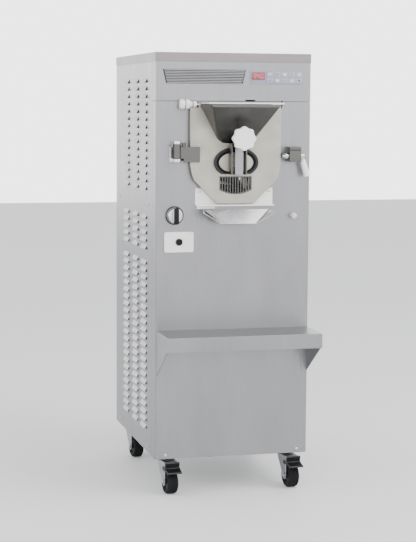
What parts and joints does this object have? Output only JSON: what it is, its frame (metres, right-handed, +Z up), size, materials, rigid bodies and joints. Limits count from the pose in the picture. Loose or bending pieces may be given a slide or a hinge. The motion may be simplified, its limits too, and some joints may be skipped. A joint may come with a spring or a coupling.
{
  "type": "batch freezer",
  "caption": "Floor-standing soft ice-cream machine: louvred steel cabinet, hinged door with hopper, sliding gate, chute, shelf and swivel casters.",
  "frame": {"origin": "on the floor, in the middle of the whole machine with its shelf", "axes": "+Z up, front with the door and shelf towards -Y, +X to the viewer's right"},
  "size_m": [0.51, 0.7994, 1.381],
  "materials": {
    "stainless_panel": "fine satin brushing",
    "cover_steel": "satin",
    "frame_steel": "grey paint",
    "bright_steel": "polished",
    "dark_steel": "machined",
    "door_steel": "bead-blasted, warm",
    "white_plastic": "smooth",
    "black_plastic": "moulded",
    "grey_plastic": "printed membrane",
    "black_rubber": "smooth",
    "tread": "worn",
    "foam": "rigid foam",
    "motor_paint": "enamel",
    "compressor_paint": "gloss black",
    "fin_aluminium": "bare fins",
    "copper": "drawn tube",
    "zinc": "zinc plated",
    "cast_steel": "machined casting",
    "trim_ribs": "dark ribbed"
  },
  "bodies": {
    "cabinet": {"frame": "frame_steel", "top_cover": "cover_steel", "left_side_panel": "stainless_panel", "right_side_panel": "stainless_panel", "rear_panel": "stainless_panel", "control_fascia": "stainless_panel", "front_panel": "stainless_panel", "panel_screws": "bright_steel", "trim_strip": "trim_ribs", "control_plate": "grey_plastic", "electrical_box": "grey_plastic", "freezing_barrel": "bright_steel", "barrel_insulation": "foam", "bearing_housing": "cast_steel", "beater_motor": "motor_paint", "compressor": "compressor_paint", "condenser": "fin_aluminium", "refrigerant_pipes": "copper", "hinge_base": "bright_steel", "clamp_bracket": "dark_steel", "chute_plate": "white_plastic", "discharge_chute": "bright_steel", "tap_flange": "bright_steel", "switch_plate": "white_plastic", "rest_stud": "bright_steel", "shelf": "stainless_panel", "shelf_brackets": "stainless_panel", "drive_belt": "black_rubber"},
    "beater_unit": {"drive_shaft": "dark_steel", "beater": "bright_steel", "scraper_blades": "white_plastic", "driven_pulley": "cast_steel"},
    "motor_rotor": {"motor_pulley": "cast_steel"},
    "fan": {"condenser_fan": "black_plastic"},
    "door": {"door_plate": "door_steel", "door_gasket": "black_rubber", "feed_hopper": "dark_steel", "outlet_grille": "bright_steel", "gate_guides": "dark_steel", "hinge_leaf": "dark_steel", "lid_pin": "white_plastic"},
    "lid": {"hopper_lid": "bright_steel"},
    "gate": {"gate_plate": "dark_steel", "gate_seal": "black_rubber", "gate_bar": "bright_steel"},
    "gate_knob": {"gate_knob": "white_plastic"},
    "clamp": {"clamp_lever": "bright_steel", "clamp_grip": "white_plastic"},
    "tap": {"tap_handle": "bright_steel"},
    "button": {"switch_button": "black_plastic"},
    "front_left_swivel": {"front_left_caster_fork": "zinc"},
    "front_left_wheel": {"front_left_caster_wheel": "tread"},
    "front_left_brake": {"front_left_caster_pedal": "black_plastic"},
    "front_right_swivel": {"front_right_caster_fork": "zinc"},
    "front_right_wheel": {"front_right_caster_wheel": "tread"},
    "front_right_brake": {"front_right_caster_pedal": "black_plastic"},
    "rear_left_swivel": {"rear_left_caster_fork": "zinc"},
    "rear_left_wheel": {"rear_left_caster_wheel": "tread"},
    "rear_right_swivel": {"rear_right_caster_fork": "zinc"},
    "rear_right_wheel": {"rear_right_caster_wheel": "tread"}
  },
  "joints": [
    {"name": "beater_spin", "type": "hinge", "parent": "cabinet", "child": "beater_unit", "pos_m": [0, -0.04175, 1.05], "axis": [0, 1, 0], "continuous": true},
    {"name": "motor_spin", "type": "hinge", "parent": "cabinet", "child": "motor_rotor", "pos_m": [0, 0.21025, 0.675], "axis": [0, 1, 0], "continuous": true},
    {"name": "fan_spin", "type": "hinge", "parent": "cabinet", "child": "fan", "pos_m": [0, 0.27, 0.345], "axis": [0, 1, 0], "continuous": true},
    {"name": "door_swing", "type": "hinge", "parent": "cabinet", "child": "door", "pos_m": [-0.1875, -0.27075, 1.07], "axis": [0, 0, -1], "range_deg": [0, 110]},
    {"name": "lid_swing", "type": "hinge", "parent": "door", "child": "lid", "pos_m": [0, -0.25975, 1.223], "axis": [-1, 0, 0], "range_deg": [0, 90]},
    {"name": "gate_slide", "type": "slide", "parent": "door", "child": "gate", "axis": [0, 0, -1], "range_m": [0, 0.055]},
    {"name": "gate_knob_turn", "type": "hinge", "parent": "gate", "child": "gate_knob", "pos_m": [0, -0.33675, 1.1205], "axis": [0, 1, 0], "continuous": true},
    {"name": "clamp_turn", "type": "hinge", "parent": "cabinet", "child": "clamp", "pos_m": [0.186, -0.27075, 1.065], "axis": [-1, 0, 0], "range_deg": [0, 100]},
    {"name": "tap_turn", "type": "hinge", "parent": "cabinet", "child": "tap", "pos_m": [-0.19, -0.25675, 0.881], "axis": [0, 1, 0], "range_deg": [0, 90]},
    {"name": "button_press", "type": "slide", "parent": "cabinet", "child": "button", "axis": [0, 1, 0], "range_m": [0, 0.003], "stiffness_N_per_m": 400},
    {"name": "front_left_caster_swivel", "type": "hinge", "parent": "cabinet", "child": "front_left_swivel", "pos_m": [-0.199, -0.18425, 0.1], "axis": [0, 0, 1], "continuous": true},
    {"name": "front_left_wheel_roll", "type": "hinge", "parent": "front_left_swivel", "child": "front_left_wheel", "pos_m": [-0.19578, -0.22111, 0.0385], "axis": [0.9962, 0.0872, 0], "continuous": true},
    {"name": "front_left_brake_press", "type": "hinge", "parent": "front_left_swivel", "child": "front_left_brake", "pos_m": [-0.19525, -0.22709, 0.083], "axis": [0.9962, 0.0872, 0], "range_deg": [0, 12], "stiffness_Nm_per_rad": 2},
    {"name": "front_right_caster_swivel", "type": "hinge", "parent": "cabinet", "child": "front_right_swivel", "pos_m": [0.199, -0.18425, 0.1], "axis": [0, 0, 1], "continuous": true},
    {"name": "front_right_wheel_roll", "type": "hinge", "parent": "front_right_swivel", "child": "front_right_wheel", "pos_m": [0.20222, -0.22111, 0.0385], "axis": [0.9962, 0.0872, 0], "continuous": true},
    {"name": "front_right_brake_press", "type": "hinge", "parent": "front_right_swivel", "child": "front_right_brake", "pos_m": [0.20275, -0.22709, 0.083], "axis": [0.9962, 0.0872, 0], "range_deg": [0, 12], "stiffness_Nm_per_rad": 2},
    {"name": "rear_left_caster_swivel", "type": "hinge", "parent": "cabinet", "child": "rear_left_swivel", "pos_m": [-0.199, 0.34075, 0.1], "axis": [0, 0, 1], "continuous": true},
    {"name": "rear_left_wheel_roll", "type": "hinge", "parent": "rear_left_swivel", "child": "rear_left_wheel", "pos_m": [-0.19578, 0.30389, 0.0385], "axis": [0.9962, 0.0872, 0], "continuous": true},
    {"name": "rear_right_caster_swivel", "type": "hinge", "parent": "cabinet", "child": "rear_right_swivel", "pos_m": [0.199, 0.34075, 0.1], "axis": [0, 0, 1], "continuous": true},
    {"name": "rear_right_wheel_roll", "type": "hinge", "parent": "rear_right_swivel", "child": "rear_right_wheel", "pos_m": [0.20222, 0.30389, 0.0385], "axis": [0.9962, 0.0872, 0], "continuous": true}
  ],
  "couplings": [
    {"joint": "motor_spin", "follows": "beater_spin", "ratio": 2.5}
  ]
}
